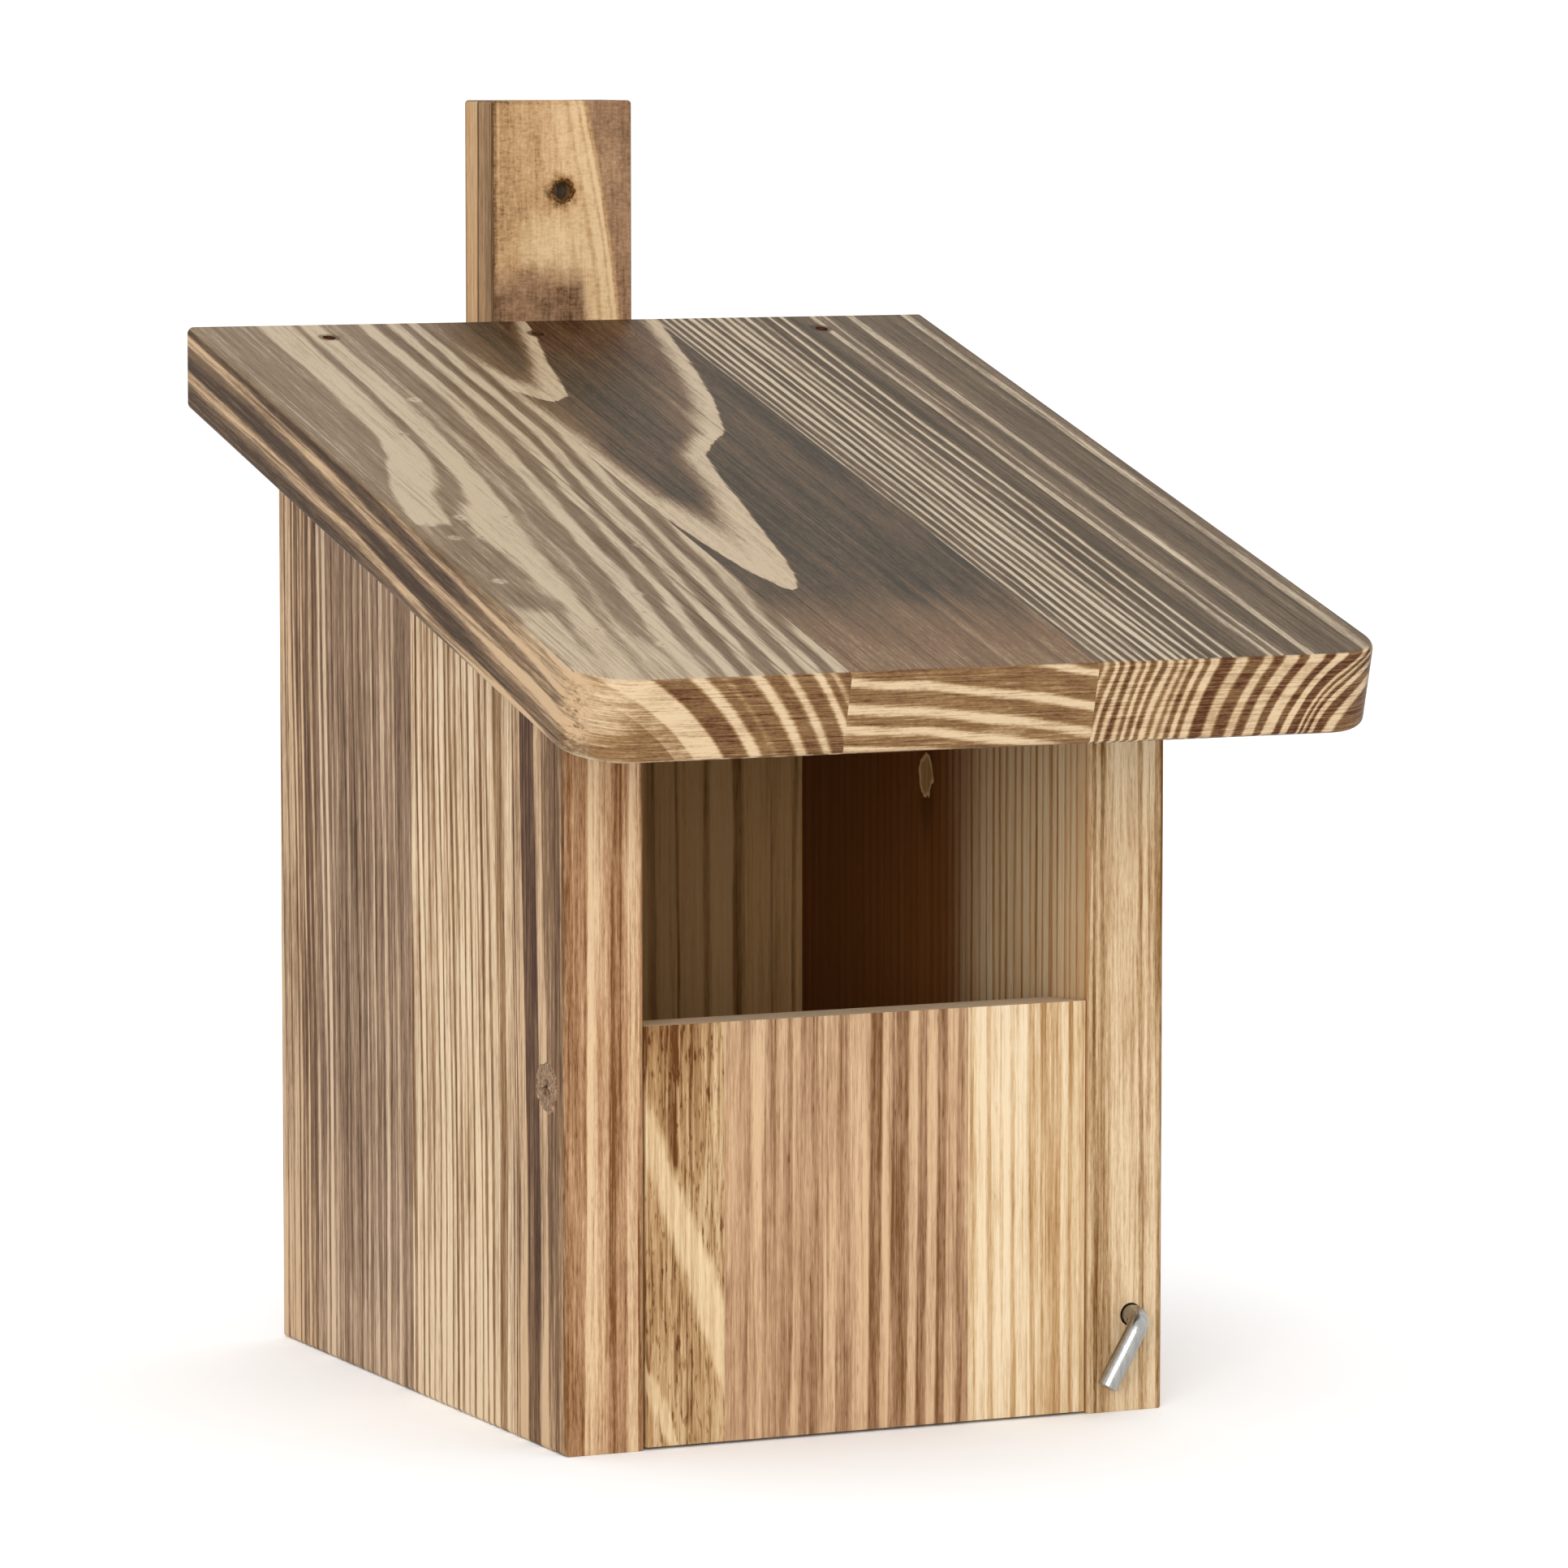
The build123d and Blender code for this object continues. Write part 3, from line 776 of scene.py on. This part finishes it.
def dress_roof_centre():
    board = roof_board("roof_centre_wood", 52)
    ragged = board.noise(0.9, 16.0, 3.0, 0.6) * 0.7
    right_arm = curve(board.along, [
        (0.0, 58.0), (44.0, 60.0), (47.0, 64.0), (50.0, 68.0), (60.0, 71.4), (80.0, 75.0),
        (100.0, 78.0), (122.0, 81.5), (135.0, 84.0), (143.0, 89.0), (150.0, 95.0), (160.0, 98.0),
        (172.0, 102.0), (190.0, 106.0), (212.0, 110.0), (235.0, 114.0),
    ])
    left_arm = curve(board.along, [
        (0.0, 78.0), (44.0, 72.0), (47.0, 68.0), (50.0, 65.0), (60.0, 62.0), (80.0, 59.0),
        (110.0, 57.0), (140.0, 55.0), (235.0, 52.0),
    ])
    inward = smaller(right_arm - board.across, board.across - left_arm) - ragged
    width = curve(board.along, [
        (0.0, 7.0), (60.0, 14.0), (85.0, 11.0), (110.0, 6.0), (150.0, 7.0), (180.0, 5.0),
        (235.0, 4.0),
    ])
    cream = step(inward, -0.4, 0.5) * (1.0 - step(inward / width, 0.35, 1.5))
    glow = step(inward, 0.0, 3.0) * step(inward, 20.0, 6.0) * step(board.along, 130.0, 165.0)
    right_two = curve(board.along, [
        (0.0, 50.0), (171.0, 54.0), (173.0, 64.0), (177.0, 69.0), (184.0, 71.0), (200.0, 74.0),
        (212.0, 77.0), (235.0, 82.0),
    ])
    left_two = curve(board.along, [
        (0.0, 80.0), (172.0, 66.0), (175.0, 62.0), (182.0, 58.0), (190.0, 55.0), (235.0, 50.0),
    ])
    inward_two = smaller(right_two - board.across, board.across - left_two) - ragged
    width_two = curve(board.along, [(0.0, 5.0), (180.0, 9.0), (200.0, 5.0), (235.0, 3.6)])
    cream_two = step(inward_two, -0.4, 0.5) * (1.0 - step(inward_two / width_two, 0.4, 1.4))
    near_front = step(board.along + board.noise(12.0, 40.0) * 10.0, 55.0, 5.0)
    burnt = step(board.along, 175.0, 225.0) * step(size_of(board.across - 90.0), 28.0, 6.0)
    base = 0.12 + near_front * 0.42 + glow * 0.28 + board.noise(5.0, 60.0) * 0.06
    tone = blend(blend(base, 0.98, cream), 0.95, cream_two)
    fall = curve(board.across, [(55.0, 0.0), (75.0, 1.2), (90.0, 3.2), (100.0, 4.6), (115.0, 7.6)])
    edge = bands(board.depth - fall + board.noise(14.0, 20.0, thickness=20.0) * 0.4, -9.0, [
        (-5.5, 0.3), (-4.0, 0.98), (1.4, 0.34), (3.2, 0.98), (6.8, 0.36), (8.8, 0.98), (11.2, 0.4),
        (13.0, 0.98), (15.6, 0.36), (16.8, 0.9), (19.0, 0.4),
    ], 0.9)
    bare = 1.0 - larger(cream, cream_two)
    patches = [(near_front * bare * 0.6, 0.42), (burnt * bare * 0.8, 0.1)]
    dress("roof_plank_centre", finish_roof(board, tone, edge, edge, ROOF_COAL, 0.45, patches))


def dress_roof_right():
    board = roof_board("roof_right_wood", 53)
    pith_across = 185.0
    pith_depth = 25.0
    reach = pith_across - board.across + board.noise(9.0, 60.0, thickness=40.0) * 0.5
    arc = reach * reach - board.depth * (2 * pith_depth) + board.depth * board.depth
    place = pith_across - signed_root(arc)
    lines = rings(112.0, 136.0, 2.2, 0.48, 1.0, 0.16, 3)
    lines += rings(lines[-1][0], 149.0, 3.6, 0.32, 0.95, 0.16, 4)
    lines += [
        (151.0, 0.24), (152.6, 0.85), (154.4, 0.4), (155.2, 0.75), (157.0, 0.34), (160.4, 0.16),
        (162.4, 0.8), (164.0, 0.4), (168.0, 0.3), (171.0, 0.22), (173.0, 0.36), (174.6, 0.2),
        (177.0, 0.75), (179.0, 0.44), (190.0, 0.4), (220.0, 0.38),
    ]
    top = bands(place, 111.0, lines, 0.4)
    edge_lines = rings(112.0, 138.0, 2.3, 0.5, 0.95, 0.25, 3)
    edge_lines += rings(edge_lines[-1][0], 205.0, 6.2, 0.5, 0.95, 0.16, 7)
    edge = bands(place, 111.0, edge_lines, 0.8)
    dress("roof_plank_right", finish_roof(board, top, edge, top * 0.5 + 0.3, ROOF_SLATE, 0.6))


# ---------------------------------------------------------------- metal


def metal(name, shade, dark, rough, scratch_length):
    """Zinc or steel with fine drawing marks and a slight mottle."""
    board = Board(name, lambda x, y, z: x, lambda x, y, z: z, lambda x, y, z: y, 61)
    tree = board.tree
    mottle = board.noise(0.9, scratch_length, 3.0, 0.6)
    wear = step(mottle, -0.8, 0.9)
    tint = mix_colours(tree, shade, dark, wear * 0.5)
    shader = tree.nodes.new("ShaderNodeBsdfPrincipled")
    tree.links.new(tint, shader.inputs["Base Color"])
    shader.inputs["Metallic"].default_value = 1.0
    feed(shader.inputs["Roughness"], rough + wear * 0.12)
    add_relief(tree, shader, board.noise(0.25, 0.6, 2.0), strength=0.15, millimetres=0.05)
    return board.material


def dress_metal():
    dress("latch_hook", metal("latch_steel", colour(214, 214, 212), colour(150, 150, 150), 0.2, 9.0))
    dress("pivot_screws", metal("pivot_steel", colour(104, 78, 56), colour(70, 50, 34), 0.6, 1.5))
    dress("lath_screws", metal("screw_steel", colour(190, 188, 182), colour(140, 136, 130), 0.3, 1.5))
    dress("roof_nails", metal("nail_steel", colour(96, 84, 74), colour(66, 54, 46), 0.5, 1.5))


def make_torn_rims():
    """The drill tore the wood where the pivots' recesses and the lath's hole break its surface."""
    screw_low, screw_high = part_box("pivot_screws")
    pivot = (screw_low + screw_high) / 2
    radius = PIVOT_RECESS_RADIUS * MM
    for side, sign in (("left", -1), ("right", 1)):
        centre = Vector((sign * HALF_WIDTH * MM, pivot.y, pivot.z))
        outward = Vector((sign, 0, 0))
        make_torn_rim(
            f"torn_rim_{side}", centre, outward, radius,
            closed=0.86, palette=SIDE_GREY, seed=70 + sign)
    centre = Vector((0.0, lath_low.y, LATH_HOLE_Z * MM))
    outward = Vector((0, -1, 0))
    make_torn_rim(
        "torn_rim_lath", centre, outward, LATH_HOLE_RADIUS * MM,
        closed=0.16, palette=TORN_DARK, seed=73)


# ---------------------------------------------------------------- floor, light, camera


FLOOR_REACH = 12.0
FLOOR_LEVEL = -0.05 * MM    # just under the box, so that the two don't share a plane
FLOOR_PALE = (0.97, 0.97, 0.97, 1.0)
WHITE = (1.0, 1.0, 1.0, 1.0)
SKY_STRENGTH = 1.16
BOX_MIDDLE = Vector((0.0, 0.0, 0.11))

# the camera that the photo fits
CAMERA_PLACE = (-0.67875, -1.49934, 0.29441)
CAMERA_YAW = math.radians(24.597)
CAMERA_PITCH = math.radians(5.673)
CAMERA_LENS = 177.03
SENSOR_WIDTH = 36.0
CAMERA_REACH = 100.0


def make_floor():
    mesh = bpy.data.meshes.new("studio_floor")
    shape = bmesh.new()
    corners = []
    for x, y in ((-1, -1), (1, -1), (1, 1), (-1, 1)):
        corners.append(shape.verts.new((x * FLOOR_REACH, y * FLOOR_REACH, FLOOR_LEVEL)))
    shape.faces.new(corners)
    shape.to_mesh(mesh)
    shape.free()
    floor = bpy.data.objects.new("studio_floor", mesh)
    bpy.context.scene.collection.objects.link(floor)
    material = bpy.data.materials.new("studio_floor")
    material.use_nodes = True
    shader = material.node_tree.nodes["Principled BSDF"]
    shader.inputs["Base Color"].default_value = FLOOR_PALE
    shader.inputs["Roughness"].default_value = 1.0
    shader.inputs["Specular IOR Level"].default_value = 0.0
    mesh.materials.append(material)


def area_light(name, target, azimuth, elevation, distance, size, power):
    """A round soft light; azimuth 0 is straight in front and a negative one is to the left."""
    light = bpy.data.lights.new(name, "AREA")
    light.shape = "DISK"
    light.size = size
    light.energy = power
    lamp = bpy.data.objects.new(name, light)
    turn = math.radians(azimuth)
    lift = math.radians(elevation)
    level = math.cos(lift)
    towards = Vector((math.sin(turn) * level, -math.cos(turn) * level, math.sin(lift)))
    lamp.location = target + towards * distance
    lamp.rotation_euler = (-towards).to_track_quat("-Z", "Y").to_euler()
    bpy.context.scene.collection.objects.link(lamp)


def make_light():
    world = bpy.data.worlds.new("studio")
    bpy.context.scene.world = world
    world.use_nodes = True
    sky = world.node_tree.nodes["Background"]
    sky.inputs["Color"].default_value = WHITE
    sky.inputs["Strength"].default_value = SKY_STRENGTH
    area_light("key", BOX_MIDDLE, azimuth=-33.0, elevation=12.0, distance=2.3, size=1.5, power=30.0)


def make_camera():
    camera = bpy.data.cameras.new("camera")
    camera.sensor_width = SENSOR_WIDTH
    camera.lens = CAMERA_LENS
    camera.clip_end = CAMERA_REACH
    holder = bpy.data.objects.new("camera", camera)
    holder.location = CAMERA_PLACE
    holder.rotation_euler = (math.pi / 2 - CAMERA_PITCH, 0.0, -CAMERA_YAW)
    bpy.context.scene.collection.objects.link(holder)
    bpy.context.scene.camera = holder


dress_sides()
dress_back_and_floor()
dress_lath()
dress_front_left()
dress_front_centre()
dress_front_right()
dress_roof_left()
dress_roof_centre()
dress_roof_right()
dress_metal()
make_torn_rims()
make_floor()
make_light()
make_camera()
bpy.context.scene.view_settings.view_transform = "Standard"
